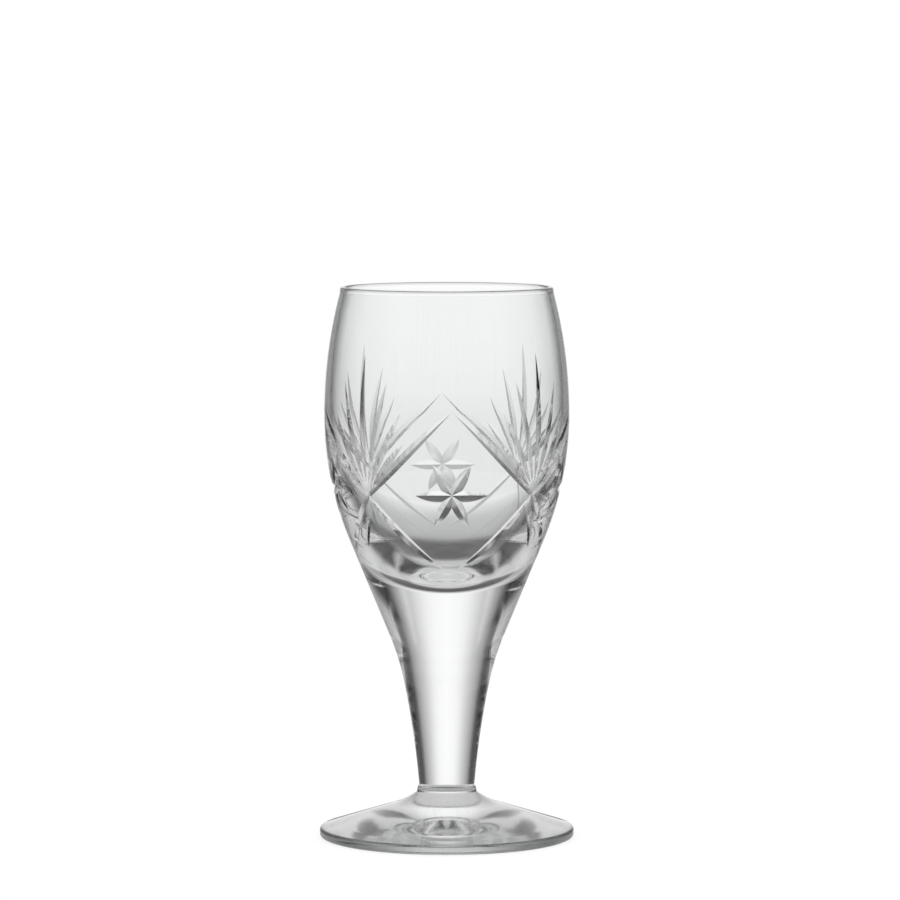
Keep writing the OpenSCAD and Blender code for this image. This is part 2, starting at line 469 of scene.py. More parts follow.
def polish_group() -> bpy.types.NodeTree:
    """Shader group for what polishing leaves on glass: a soft ripple and a trace of haze.

    Returns:
        A group with inputs Vector, Ripple Scale, Line Scale and Haze, and outputs Height and Roughness.
    """
    g = Group("polish", "ShaderNodeTree")
    vector = g.take("Vector", "NodeSocketVector")
    ripple_scale = g.take("Ripple Scale", "NodeSocketFloat", 60)
    line_scale = g.take("Line Scale", "NodeSocketFloat", 400)
    haze = g.take("Haze", "NodeSocketFloat", 0.01)
    ripple = g.add("ShaderNodeTexNoise", {"Vector": vector, "Scale": ripple_scale, "Detail": 1.0})
    flat = g.add("ShaderNodeMapping", {"Vector": vector, "Scale": LINE_STRETCH})
    lines = g.add("ShaderNodeTexNoise", {"Vector": flat.outputs[0], "Scale": line_scale, "Detail": 1.0})
    height = g.math("ADD", ripple.outputs[0], g.math("MULTIPLY", lines.outputs[0], LINE_HEIGHT))
    g.give("Height", "NodeSocketFloat", height)
    g.give("Roughness", "NodeSocketFloat", g.math("MULTIPLY", lines.outputs[0], haze))
    return g.tree


@dataclass(frozen=True)
class GlassFinish:
    """Clear glass with a polished surface, and painted shade at grazing angles where edge is set.

    Attributes:
        name: The material's name.
        tint: Colour of light that has passed one surface.
        ripple: Height of the surface's ripple in millimetres.
        ripple_scale: Ripples in a metre.
        line_scale: Polishing lines in a metre.
        haze: Roughness where the polish is least.
        edge: Colour that the glass darkens to at grazing angles, as painted shade, or None where there is
            none.
        graze: Values of Layer Weight's Facing at which the painted edge shade starts and is full.
        index: The glass's index of refraction.
        shadow: Share of a lamp's light that passes one surface.
    """

    name: str
    tint: Colour = (0.985, 0.99, 0.99, 1.0)
    ripple: float = 0.002
    ripple_scale: float = 70.0
    line_scale: float = 500.0
    haze: float = 0.004
    edge: Colour | None = None
    graze: Pair = (0.6, 0.9)
    index: float = 1.52
    shadow: float = 0.93

    def material(self, polish: bpy.types.NodeTree) -> bpy.types.Material:
        """Makes the material.

        Args:
            polish: The polish_group shader group.

        Returns:
            The material.
        """
        made = bpy.data.materials.new(self.name)
        made.use_nodes = True
        t = Tree(made.node_tree)
        place = t.add("ShaderNodeTexCoord").outputs["Object"]
        polished = t.add(
            "ShaderNodeGroup",
            {
                "Vector": place,
                "Ripple Scale": self.ripple_scale,
                "Line Scale": self.line_scale,
                "Haze": self.haze,
            },
            node_tree=polish,
        ).outputs
        bump = t.add(
            "ShaderNodeBump",
            {"Height": polished["Height"], "Distance": self.ripple * MM, "Strength": 1.0},
        )
        colour: object = self.tint
        # Painted shade: the glass's colour darkens towards edge at grazing angles.
        if self.edge:
            facing = t.add("ShaderNodeLayerWeight", {"Blend": 0.5}).outputs["Facing"]
            start, full = self.graze
            grazing = t.add("ShaderNodeMapRange", {0: facing, 1: start, 2: full}).outputs[0]
            colour = t.add(
                "ShaderNodeMix", {0: grazing, 6: self.tint, 7: self.edge}, data_type="RGBA"
            ).outputs[2]
        glass = t.add(
            "ShaderNodeBsdfPrincipled",
            {
                "Base Color": colour,
                "Roughness": polished["Roughness"],
                "IOR": self.index,
                "Transmission Weight": 1.0,
                "Normal": bump.outputs[0],
            },
        )
        through = t.add("ShaderNodeBsdfTransparent", {"Color": (self.shadow,) * 3 + (1.0,)})
        shadow_ray = t.add("ShaderNodeLightPath").outputs["Is Shadow Ray"]
        both = t.add("ShaderNodeMixShader", {0: shadow_ray, 1: glass.outputs[0], 2: through.outputs[0]})
        t.add("ShaderNodeOutputMaterial", {"Surface": both.outputs[0]})
        return made


@dataclass(frozen=True)
class JointFinish:
    """Face inside the glass where two pieces are fused, which doesn't show."""

    name: str = "fused_joint"

    def material(self) -> bpy.types.Material:
        """Makes the fully see-through material.

        Returns:
            The material.
        """
        made = bpy.data.materials.new(self.name)
        made.use_nodes = True
        t = Tree(made.node_tree)
        clear = t.add("ShaderNodeBsdfPrincipled", {"Base Color": (1.0, 1.0, 1.0, 1.0), "Alpha": 0.0})
        t.add("ShaderNodeOutputMaterial", {"Surface": clear.outputs[0]})
        return made


class Workshop:
    """Finishes and node trees that the pieces share, and the ways to turn and dress a piece."""

    SEGMENTS = 256

    def __init__(self) -> None:
        """Makes the finishes and the trees."""
        polish = polish_group()
        wheel = {"ripple": 0.001, "ripple_scale": 260.0, "line_scale": 1500.0}
        self.polished = GlassFinish("fire_polished_glass").material(polish)
        # The bowl's glass is painted darker at grazing angles as shade.
        self.blown = GlassFinish("blown_glass", edge=(0.1, 0.11, 0.11, 1.0)).material(polish)
        self.worn = GlassFinish("worn_glass", line_scale=900.0, haze=0.17).material(polish)
        # The foot's edge is dark grey glass: painted shade.
        self.edge = GlassFinish("foot_edge_glass", tint=(0.32, 0.33, 0.33, 1.0)).material(polish)
        self.wheel_cut = GlassFinish("wheel_cut_glass", haze=0.24, **wheel).material(polish)
        self.soft_cut = GlassFinish("soft_cut_glass", haze=0.4, **wheel).material(polish)
        self.joint = JointFinish().material()
        self.lathe = lathe_tree()

    def turn(self, name: str, outline: Outline) -> bpy.types.Object:
        """Lathes a piece.

        Args:
            name: The piece's name.
            outline: Its outline.

        Returns:
            The piece, all in fire-polished glass.
        """
        rows = outline.rows()
        points = np.column_stack((rows[:, 0], np.zeros(len(rows)), rows[:, 1]))
        piece = new_object(name, points, [])
        return shaped_by(piece, self.lathe, Rows=len(rows), Segments=self.SEGMENTS, Finish=self.polished)

    def shade(
        self, piece: bpy.types.Object, outline: Outline, pattern: "CutPattern | None" = None
    ) -> None:
        """Gives a piece exact normals, and each face its finish.

        Args:
            piece: The piece.
            outline: The outline that it was lathed from.
            pattern: The wheels that it was cut with, if any.
        """
        mesh = piece.data
        spots = read(mesh.vertices, "co", 3) / MM
        corner = read(mesh.loops, "vertex_index", kind=int)
        sides = read(mesh.polygons, "loop_total", kind=int)
        face = np.repeat(np.arange(len(sides)), sides)
        centres = read(mesh.polygons, "center", 3) / MM
        level = np.hypot(spots[:, 0], spots[:, 1])
        centre_level = np.hypot(centres[:, 0], centres[:, 1])
        owners = outline.owners_at(np.column_stack((centre_level, centres[:, 2])))
        flat = outline.normals_at(np.column_stack((level, spots[:, 2]))[corner], owners[face])
        spoke = (spots[:, :2] / np.maximum(level, CLOSE)[:, None])[corner]
        normals = np.column_stack((flat[:, :1] * spoke, flat[:, 1]))
        # self.edge is the foot edge's painted shade.
        finishes = [self.blown if pattern else self.polished, self.joint, self.worn, self.edge]
        kinds = np.array([list(Surface).index(run.surface) for run in outline.runs])
        slots = kinds[owners]
        if pattern:
            mark = mesh.attributes[CutPattern.MARK]
            inside = read(mark.data, "value", kind=bool)[face]
            mesh.attributes.remove(mark)
            normals[inside], soft = pattern.normals_at(spots[corner[inside]], centres[face[inside]])
            slots[face[inside]] = len(finishes) + soft
            finishes += [self.wheel_cut, self.soft_cut]
        used, slots = np.unique(slots, return_inverse=True)
        mesh.materials.clear()
        for i in used:
            mesh.materials.append(finishes[i])
        mesh.polygons.foreach_set("material_index", slots)
        mesh.normals_split_custom_set(normals.tolist())


# Pieces


class Turned:
    """Piece of glass that is turned round the axis.

    NAME is its own name, NODE the CAD node that it stands for and SLOT the record's material slot.
    """

    NAME = ""
    NODE = ""
    SLOT = "clear_glass"

    def outline(self) -> Outline:
        """Half outline, which each piece draws its own way."""
        raise NotImplementedError

    def build(self, shop: Workshop) -> bpy.types.Object:
        """Turns the piece and dresses it.

        Args:
            shop: The shared finishes and trees.

        Returns:
            The finished piece.
        """
        outline = self.outline()
        piece = shop.turn(self.NAME, outline)
        shop.shade(piece, outline)
        return piece


@dataclass
class Bowl(Turned):
    """Blown bowl with a thick base and a melted lip.

    Attributes:
        seat_z: Height of the seat on the stem.
        rim_z: Height of the lip's top.
        belly_r: Outside radius at the widest part.
        belly_up: Height of the widest part above the seat.
        upper_arc_r: Radius of the side's curve above the widest part.
        lower_arc_r: Radius of the side's curve below it.
        base_lean: Lean of the conical base from upright.
        lip_wall: Wall at the lip.
        lip_swell: How much thicker the lip's bead is than that wall.
        lip_fade: How far below the bead's middle the swelling starts.
        lip_lap: How far the bead's curve runs past level, inside and outside.
        belly_wall: Wall at the cavity's widest part.
        cavity_up: Height of the cavity's widest part above the outside's.
        base_h: Glass between the seat and the cavity's floor.
        floor_r: Radius of the floor's curve.
    """

    NAME = "cut_bowl"
    NODE = "bowl"
    SLOT = "cut_glass"

    seat_z: float
    rim_z: float
    belly_r: float = 36.6
    belly_up: float = 66.0
    upper_arc_r: float = 142.0
    lower_arc_r: float = 98.0
    base_lean: float = 22.6
    lip_wall: float = 1.2
    lip_swell: float = 0.5
    lip_fade: float = 1.0
    lip_lap: float = 8.0
    belly_wall: float = 1.8
    cavity_up: float = 3.0
    base_h: float = 16.0
    floor_r: float = 24.0

    @property
    def belly_z(self) -> float:
        """Height of the widest part."""
        return self.seat_z + self.belly_up

    @property
    def cone(self) -> Pair:
        """Radius and height at which the side's lower curve runs into the conical base."""
        return (
            self.belly_r - self.lower_arc_r * (1 - cos(self.base_lean)),
            self.belly_z - self.lower_arc_r * sin(self.base_lean),
        )

    @property
    def seat_r(self) -> float:
        """Radius of the seat on the stem."""
        cone_r, cone_z = self.cone
        return cone_r - (cone_z - self.seat_z) * tan(self.base_lean)

    def side_r(self, z: float) -> float:
        """Outside radius at a height.

        Args:
            z: The height.

        Returns:
            The radius.
        """
        cone_r, cone_z = self.cone
        if z < cone_z:
            return cone_r - (cone_z - z) * tan(self.base_lean)
        r = self.upper_arc_r if z > self.belly_z else self.lower_arc_r
        return self.belly_r - r + math.sqrt(r * r - (z - self.belly_z) ** 2)

    def side_tilt(self, z: float) -> float:
        """Angle by which the outside faces up at a height."""
        r = self.upper_arc_r if z > self.belly_z else self.lower_arc_r
        return max(-self.base_lean, math.degrees(math.asin(max(-1.0, (z - self.belly_z) / r))))

    def on_side(self, turn: float, z: float) -> np.ndarray:
        """Point on the outside, the turn measured from the front."""
        r = self.side_r(z)
        return np.array((r * sin(turn), -r * cos(turn), z))

    def outward(self, turn: float, z: float) -> np.ndarray:
        """Direction straight out of the glass there."""
        tilt = self.side_tilt(z)
        return np.array((cos(tilt) * sin(turn), -cos(tilt) * cos(turn), sin(tilt)))

    def off(self, turn: float, z: float, reach: float, lean: float) -> np.ndarray:
        """Goes from one point on the outside to another.

        Args:
            turn: Turn of the first point.
            z: Its height.
            reach: Distance to the other.
            lean: Lean of the way there from upright.

        Returns:
            The other point's turn and height.
        """
        return np.array(
            (
                turn + math.degrees(reach * sin(lean) / self.side_r(z)),
                z + reach * cos(lean) * cos(self.side_tilt(z)),
            )
        )

    def outline(self) -> Outline:
        """Draws the half outline.

        Returns:
            Seat, outside, lip, cavity and floor.
        """
        lip_r = (self.lip_wall + self.lip_swell) / 2
        lip_z = self.rim_z - lip_r
        lip_mid_r = self.side_r(lip_z) - self.lip_wall / 2
        fade_z = lip_z - self.lip_fade
        belly_z, seat_z = self.belly_z, self.seat_z
        seat = line((0, seat_z), (self.seat_r, seat_z), surface=Surface.JOINT)
        side = line((self.seat_r, seat_z), self.cone, steps=15)
        lower, upper = self.lower_arc_r, self.upper_arc_r
        side += arc((self.belly_r - lower, belly_z), lower, -self.base_lean, 0, steps=25)
        side += arc((self.belly_r - upper, belly_z), upper, 0, self.side_tilt(fade_z), steps=25)
        side += arc((lip_mid_r, lip_z), lip_r, -self.lip_lap, 180 + self.lip_lap, steps=14)
        return Outline([seat, side + self._cavity(lip_z, lip_mid_r, fade_z)])

    def _cavity(self, lip_z: float, lip_mid_r: float, fade_z: float) -> Run:
        """Inside of the bowl from under the lip down to the middle of the floor.

        Args:
            lip_z: Height of the middle of the lip's bead.
            lip_mid_r: Radius of the middle of the lip's bead.
            fade_z: Height at which the wall starts to swell into the lip.

        Returns:
            The stretch.
        """
        z = self.belly_z + self.cavity_up
        r = self.side_r(z) - self.belly_wall
        inward, rise = r - lip_mid_r + self.lip_wall / 2, lip_z - z
        upper = (rise * rise + inward * inward) / (2 * inward)
        drop = z - self.seat_z - self.base_h - self.floor_r
        lower = (r * r + drop * drop - self.floor_r**2) / (2 * (r - self.floor_r))
        floor_turn = math.degrees(math.atan2(drop, lower - r))
        top = math.degrees(math.asin((fade_z - z) / upper))
        wall = arc((r - upper, z), upper, top, 0, steps=16)
        wall += arc((r - lower, z), lower, 0, -floor_turn, steps=20)
        floor_z = self.seat_z + self.base_h + self.floor_r
        return wall + arc((0, floor_z), self.floor_r, -floor_turn, -90, steps=14)

    def build(self, shop: Workshop) -> bpy.types.Object:
        """Turns the bowl, cuts its pattern and dresses it.

        Args:
            shop: The shared finishes and trees.

        Returns:
            The finished piece.
        """
        pattern = CutPattern(self)
        outline = self.outline()
        piece = shop.turn(self.NAME, outline)
        tool = pattern.tool()
        shaped_by(
            piece,
            wheel_cut_tree(),
            Wheels=tool,
            Panels=pattern.panels,
            Finish=shop.polished,
            Cut_Finish=shop.wheel_cut,
        )
        bpy.data.objects.remove(tool)
        shop.shade(piece, outline, pattern)
        return piece


@dataclass
class Wheel:
    """Cutting wheel with a V edge that makes a leaf-shaped groove in the bowl's outside.

    Attributes:
        bowl: The bowl that it cuts.
        start: Turn and height of one end of the groove.
        end: Turn and height of its other end.
        depth: Depth of the groove at its middle.
        half_angle: Angle from the middle of the V to each flank.
        soft: Whether the groove has the softer polish.
        clear: How far the wheel stands out of the glass.
        run: Length of the wheel's edge for a groove of length 1.
        steps: How many rows of faces the edge gets.
    """

    bowl: Bowl
    start: np.ndarray
    end: np.ndarray
    depth: float
    half_angle: float = 52.0
    soft: bool = False
    clear: float = 1.0
    run: float = 1.12
    steps: int = 40

    def __post_init__(self) -> None:
        """Works out the wheel's centre, axes, radius and sweep."""
        p, q = self.bowl.on_side(*self.start), self.bowl.on_side(*self.end)
        mid = (self.start + self.end) / 2
        out = self.bowl.outward(*mid)
        self.along = unit(q - p)
        up = unit(out - (out @ self.along) * self.along)
        half = np.linalg.norm(q - p) / 2
        rise = (self.bowl.on_side(*mid) - self.depth * out - (p + q) / 2) @ up
        self.way = -1 if rise < 0 else 1
        self.radius = (half * half + rise * rise) / (2 * abs(rise))
        self.sweep = math.asin(half / self.radius) * self.run
        self.face = self.way * up
        self.axis = np.cross(self.face, self.along)
        self.centre = (p + q) / 2 + (rise - self.way * self.radius) * up

    def solid(self, base: int) -> tuple[np.ndarray, list[list[int]]]:
        """The part of the wheel that meets the bowl, as a closed mesh.

        Args:
            base: Number of its first point.

        Returns:
            The points and the faces.
        """
        far = self.radius + self.way * (self.depth + self.clear)
        wide = (self.depth + self.clear) * tan(self.half_angle)
        section = ((self.radius, 0.0), (far, wide), (far, -wide))
        points = [
            self.centre + r * (math.cos(a) * self.face + math.sin(a) * self.along) + h * self.axis
            for a in np.linspace(-self.sweep, self.sweep, self.steps + 1)
            for r, h in section
        ]
        faces = [[0, 1, 2], [3 * self.steps + i for i in (2, 1, 0)]]
        for i in range(0, 3 * self.steps, 3):
            faces += [[i + j, i + 3 + j, i + 3 + (j + 1) % 3, i + (j + 1) % 3] for j in range(3)]
        order = -1 if self.way > 0 else 1
        return np.array(points), [[base + i for i in f[::order]] for f in faces]


@dataclass
class CutPattern:
    """Panels of crossing lines with a star in each and a fan between each two.

    Attributes:
        bowl: The bowl that carries it.
        panels: How many panels go round.
        apex_up: Height of a panel's top above the seat.
        cross_up: Height of the lines' crossings above the seat.
        tip_up: Height of the lower lines' ends above the seat.
        tip_turn: Turn of those ends from the panel's middle.
        run_on: Turn by which the lines run on past the crossings.
        upper_cut: Depth of the upper lines.
        lower_cut: Depth of the lower lines.
        lower_half: Half angle of the lower lines.
        petals: How many petals the star has.
        star_r: Distance of a petal's tip from the star's middle.
        star_eye: Distance of its other end, less than 0 where it runs past the middle.
        petal_cut: Depth of the petals.
        petal_half: Half angle of the petals.
        side_blades: How many blades the fan has on each side of its middle one.
        fan_h: Distance of the middle blade's tip from the crossing.
        blade_step: How much shorter each blade is than the one before.
        blade_lean: Angle between neighbouring blades.
        fan_eye: Distance of the blades' other ends from the crossing.
        blade_cut: Depth of the blades.
        blade_half: Half angle of the blades.
        wheels: One panel's wheels.
    """

    MARK = "wheel_cut"
    SLACK = 0.01

    bowl: Bowl
    panels: int = 4
    apex_up: float = 69.1
    cross_up: float = 44.3
    tip_up: float = 22.0
    tip_turn: float = 4.0
    run_on: float = 5.0
    upper_cut: float = 1.05
    lower_cut: float = 0.6
    lower_half: float = 66.0
    petals: int = 6
    star_r: float = 10.8
    star_eye: float = -2.5
    petal_cut: float = 1.05
    petal_half: float = 59.0
    side_blades: int = 3
    fan_h: float = 42.5
    blade_step: float = 7.4
    blade_lean: float = 13.3
    fan_eye: float = 3.0
    blade_cut: float = 0.6
    blade_half: float = 62.0
    wheels: list[Wheel] = field(init=False)

    def __post_init__(self) -> None:
        """Works out one panel's wheels."""
        self.cross_z = self.bowl.seat_z + self.cross_up
        self.half_panel = 180 / self.panels
        self.wheels = self._lines() + self._star() + self._fan()

    def _lines(self) -> list[Wheel]:
        """Lines round the panel, which all run on past the crossings.

        Returns:
            An upper and a lower wheel for each side.
        """
        apex_z, tip_z = self.bowl.seat_z + self.apex_up, self.bowl.seat_z + self.tip_up
        fall = (apex_z - self.cross_z) / self.half_panel
        lower_fall = (self.cross_z - tip_z) / (self.half_panel - self.tip_turn)
        reach = self.half_panel + self.run_on
        made = []
        for side in (-1, 1):
            low = np.array((side * reach, self.cross_z - self.run_on * fall))
            high = np.array((side * reach, self.cross_z + self.run_on * lower_fall))
            made.append(Wheel(self.bowl, np.array((0.0, apex_z)), low, self.upper_cut, soft=True))
            tip = np.array((side * self.tip_turn, tip_z))
            made.append(Wheel(self.bowl, high, tip, self.lower_cut, self.lower_half))
        return made

    def _star(self) -> list[Wheel]:
        """Star in the middle of the panel.

        Returns:
            A wheel for each petal.
        """
        leans = [90 + i * 360 / self.petals for i in range(self.petals)]
        return [
            Wheel(
                self.bowl,
                self.bowl.off(0, self.cross_z, self.star_eye, lean),
                self.bowl.off(0, self.cross_z, self.star_r, lean),
                self.petal_cut,
                self.petal_half,
            )
            for lean in leans
        ]

    def _fan(self) -> list[Wheel]:
        """Fan of blades that stands on the panel's crossing.

        Returns:
            A wheel for each blade.
        """
        made = []
        for i in range(-self.side_blades, self.side_blades + 1):
            near, far = (
                self.bowl.off(self.half_panel, self.cross_z, reach, i * self.blade_lean)
                for reach in (self.fan_eye, self.fan_h - abs(i) * self.blade_step)
            )
            made.append(Wheel(self.bowl, near, far, self.blade_cut, self.blade_half))
        return made

    def tool(self) -> bpy.types.Object:
        """Makes one panel's wheels.

        Returns:
            An object in which each wheel is a closed island of the mesh.
        """
        points, faces = [], []
        for wheel in self.wheels:
            some, between = wheel.solid(sum(map(len, points)))
            points.append(some)
            faces += between
        return new_object("cutting_wheels", np.vstack(points), faces)

    def normals_at(self, spots: np.ndarray, centres: np.ndarray) -> tuple[np.ndarray, np.ndarray]:
        """Direction out of the glass at corners of the cuts' faces, and whether their wheel is a soft one.

        Args:
            spots: Each corner's place.
            centres: The middle of the face that each corner belongs to.

        Returns:
            The direction at each corner, and 1 there for a soft wheel or 0.
        """
        turns = [i * 360 / self.panels for i in range(self.panels)]
        spins = [np.array(((cos(a), -sin(a), 0), (sin(a), cos(a), 0), (0, 0, 1))) for a in turns]
        least = np.full(len(spots), np.inf)
        made = np.zeros_like(spots)
        soft = np.zeros(len(spots), int)
        for spin in spins:
            for wheel in self.wheels:
                axis, middle, half = spin @ wheel.axis, spin @ wheel.centre, wheel.half_angle
                h = (centres - middle) @ axis
                rho = np.linalg.norm(centres - middle - h[:, None] * axis, axis=1)
                for side in (-1, 1):
                    gap = np.abs(h - side * wheel.way * tan(half) * (rho - wheel.radius))
                    gap[(rho - wheel.radius) * wheel.way < -self.SLACK] = np.inf
                    better = gap < least
                    least[better] = gap[better]
                    soft[better] = wheel.soft
                    off = spots[better] - middle
                    spoke = unit(off - (off @ axis)[:, None] * axis)
                    made[better] = wheel.way * sin(half) * spoke - side * cos(half) * axis
        return made, soft


@dataclass
class Stem(Turned):
    """Drawn solid stem with two hollow curves.

    Attributes:
        bottom_z: Height of the joint with the collar.
        bowl: The bowl that it carries.
        radius: Radius at the bottom.
        lean: Lean of the side from upright there.
    """

    NAME = "drawn_stem"
    NODE = "stem"

    bottom_z: float
    bowl: Bowl
    radius: float = 8.25
    lean: float = 5.0

    def outline(self) -> Outline:
        """Draws the half outline.

        Returns:
            Joint with the collar, side and joint with the bowl.
        """
        seat_r, seat_z = self.bowl.seat_r, self.bowl.seat_z
        lean, top_lean = self.lean, self.bowl.base_lean
        inward, tall = seat_r - self.radius, seat_z - self.bottom_z
        knee = math.degrees(math.atan2(inward, tall))
        rises = np.array(
            (
                (sin(top_lean) - sin(knee), sin(knee) - sin(lean)),
                (cos(knee) - cos(top_lean), cos(lean) - cos(knee)),
            )
        )
        upper, lower = np.linalg.solve(rises, (tall, inward))
        side = arc(
            (self.radius + lower * cos(lean), self.bottom_z - lower * sin(lean)),
            lower,
            180 - lean,
            180 - knee,
            steps=16,
        )
        side += arc(
            (seat_r + upper * cos(top_lean), seat_z - upper * sin(top_lean)),
            upper,
            180 - knee,
            180 - top_lean,
            steps=20,
        )
        bottom = line((0, self.bottom_z), (self.radius, self.bottom_z), surface=Surface.JOINT)
        top = line((seat_r, seat_z), (0, seat_z), surface=Surface.JOINT)
        return Outline([bottom, side, top])


@dataclass
class Collar(Turned):
    """Short ring of glass between stem and foot.

    Attributes:
        bottom_z: Height of the joint with the foot.
        stem: The stem that it carries.
        out: How far it stands out past the stem.
        ledge: How far its top edge stands out past the stem.
        low: Height of its widest part above the foot.
    """

    NAME = "collar_ring"
    NODE = "collar"

    bottom_z: float
    stem: Stem
    out: float = 0.65
    ledge: float = 0.1
    low: float = 0.4

    @property
    def arc_r(self) -> float:
        """Radius of the rounded side's curve."""
        rise, inward = self.stem.bottom_z - self.bottom_z - self.low, self.out - self.ledge
        return (rise * rise + inward * inward) / (2 * inward)

    @property
    def arc_x(self) -> float:
        """Distance of that curve's centre from the axis."""
        return self.stem.radius + self.out - self.arc_r

    @property
    def foot_r(self) -> float:
        """Radius of the joint with the foot."""
        return self.arc_x + math.sqrt(self.arc_r**2 - self.low**2)

    def outline(self) -> Outline:
        """Draws the half outline.

        Returns:
            Joint with the foot, side, ledge and joint with the stem.
        """
        top_z, stem_r = self.stem.bottom_z, self.stem.radius
        rise = top_z - self.bottom_z - self.low
        side = arc(
            (self.arc_x, self.bottom_z + self.low),
            self.arc_r,
            -math.degrees(math.asin(self.low / self.arc_r)),
            math.degrees(math.asin(rise / self.arc_r)),
            steps=10,
        )
        return Outline(
            [
                line((0, self.bottom_z), (self.foot_r, self.bottom_z), surface=Surface.JOINT),
                side,
                line((stem_r + self.ledge, top_z), (stem_r, top_z)),
                line((stem_r, top_z), (0, top_z), surface=Surface.JOINT),
            ]
        )


@dataclass
class Foot(Turned):
    """Cast disc with a conical top, a round edge and a shallow hollow underneath.

    Attributes:
        collar: The collar that it carries.
        radius: The foot's radius.
        edge_h: Height of the edge.
        edge_round: Radius of the edge's rounding.
        sweep_out: How far out from the collar the top starts to sweep up.
        sweep_up: How much higher the sweep ends than the cone would.
        rest_w: Width of the ring that the foot stands on.
        hollow_h: Height of the hollow underneath.
    """

    NAME = "cast_foot"
    NODE = "foot"

    collar: Collar
    radius: float
    edge_h: float = 2.7
    edge_round: float = 1.0
    sweep_out: float = 7.0
    sweep_up: float = 1.5
    rest_w: float = 7.0
    hollow_h: float = 0.5

    def outline(self) -> Outline:
        """Draws the half outline.

        Returns:
            Hollow, ring, edge, cone with its sweep up to the collar, and joint with the collar.
        """
        top_z, top_r = self.collar.bottom_z, self.collar.foot_r
        rise = math.degrees(math.atan2(top_z - self.sweep_up - self.edge_h, self.radius - top_r))
        edge_x = self.radius - self.edge_round
        edge_z = self.edge_h - self.edge_round * (1 - sin(rise)) / cos(rise)
        hollow_r = edge_x - self.rest_w
        hollow_arc = (hollow_r**2 + self.hollow_h**2) / (2 * self.hollow_h)
        hollow = arc(
            (0, self.hollow_h - hollow_arc),
            hollow_arc,
            90,
            math.degrees(math.acos(hollow_r / hollow_arc)),
            steps=16,
            surface=Surface.WORN,
        )
        sweep_r = top_r + self.sweep_out
        sweep_z = self.edge_h + (self.radius - sweep_r) * tan(rise)
        sweep_arc = (self.sweep_out**2 + (top_z - sweep_z) ** 2) / (2 * self.sweep_up * cos(rise))
        sweep_x, sweep_y = sweep_r + sweep_arc * sin(rise), sweep_z + sweep_arc * cos(rise)
        sweep_end = 360 + math.degrees(math.atan2(top_z - sweep_y, top_r - sweep_x))
        ring = line((hollow_r, 0), (edge_x, 0), steps=3, surface=Surface.WORN)
        # The whole round edge gets the dark grey glass, painted as shade.
        edge = arc((edge_x, self.edge_round), self.edge_round, -90, 0, steps=8, surface=Surface.EDGE)
        edge += arc((edge_x, edge_z), self.edge_round, 0, 90 - rise, steps=8)
        top = line(tuple(edge.points[-1]), (sweep_r, sweep_z), steps=12)
        top += arc((sweep_x, sweep_y), sweep_arc, 270 - rise, sweep_end, steps=14)
        joint = line((top_r, top_z), (0, top_z), surface=Surface.JOINT)
        return Outline([hollow, ring, edge, top, joint])


# Studio


@dataclass(frozen=True)
class Camera:
    """Camera at the photograph's place.

    Attributes:
        turn: How far the camera stands round from the middle of the front panel.
        away: Level distance from the axis.
        height: Height above the table.
        aim_z: Height of the axis at the picture's middle.
        aim_right: How far the picture's middle is right of the axis.
        lens: Focal length for a 36 mm sensor.
        clip: Nearest and farthest distance that it sees, in metres.
    """

    turn: float = -2.5
    away: float = 1496.0
    height: float = 232.9
    aim_z: float = 116.17
    aim_right: float = 0.96
    lens: float = 200.96
    clip: Pair = (0.05, 20.0)

    def place(self) -> None:
        """Makes the camera and gives it to the scene."""
        made = bpy.data.cameras.new("camera")
        made.lens = self.lens
        camera = bpy.data.objects.new("camera", made)
        bpy.context.scene.collection.objects.link(camera)
        right = Vector((cos(self.turn), sin(self.turn), 0)) * self.aim_right
        aim = right + Vector((0, 0, self.aim_z))
        stand = right + Vector((self.away * sin(self.turn), -self.away * cos(self.turn), self.height))
        camera.location = stand * MM
        camera.rotation_euler = (aim - stand).to_track_quat("-Z", "Y").to_euler()
        made.clip_start, made.clip_end = self.clip
        bpy.context.scene.camera = camera


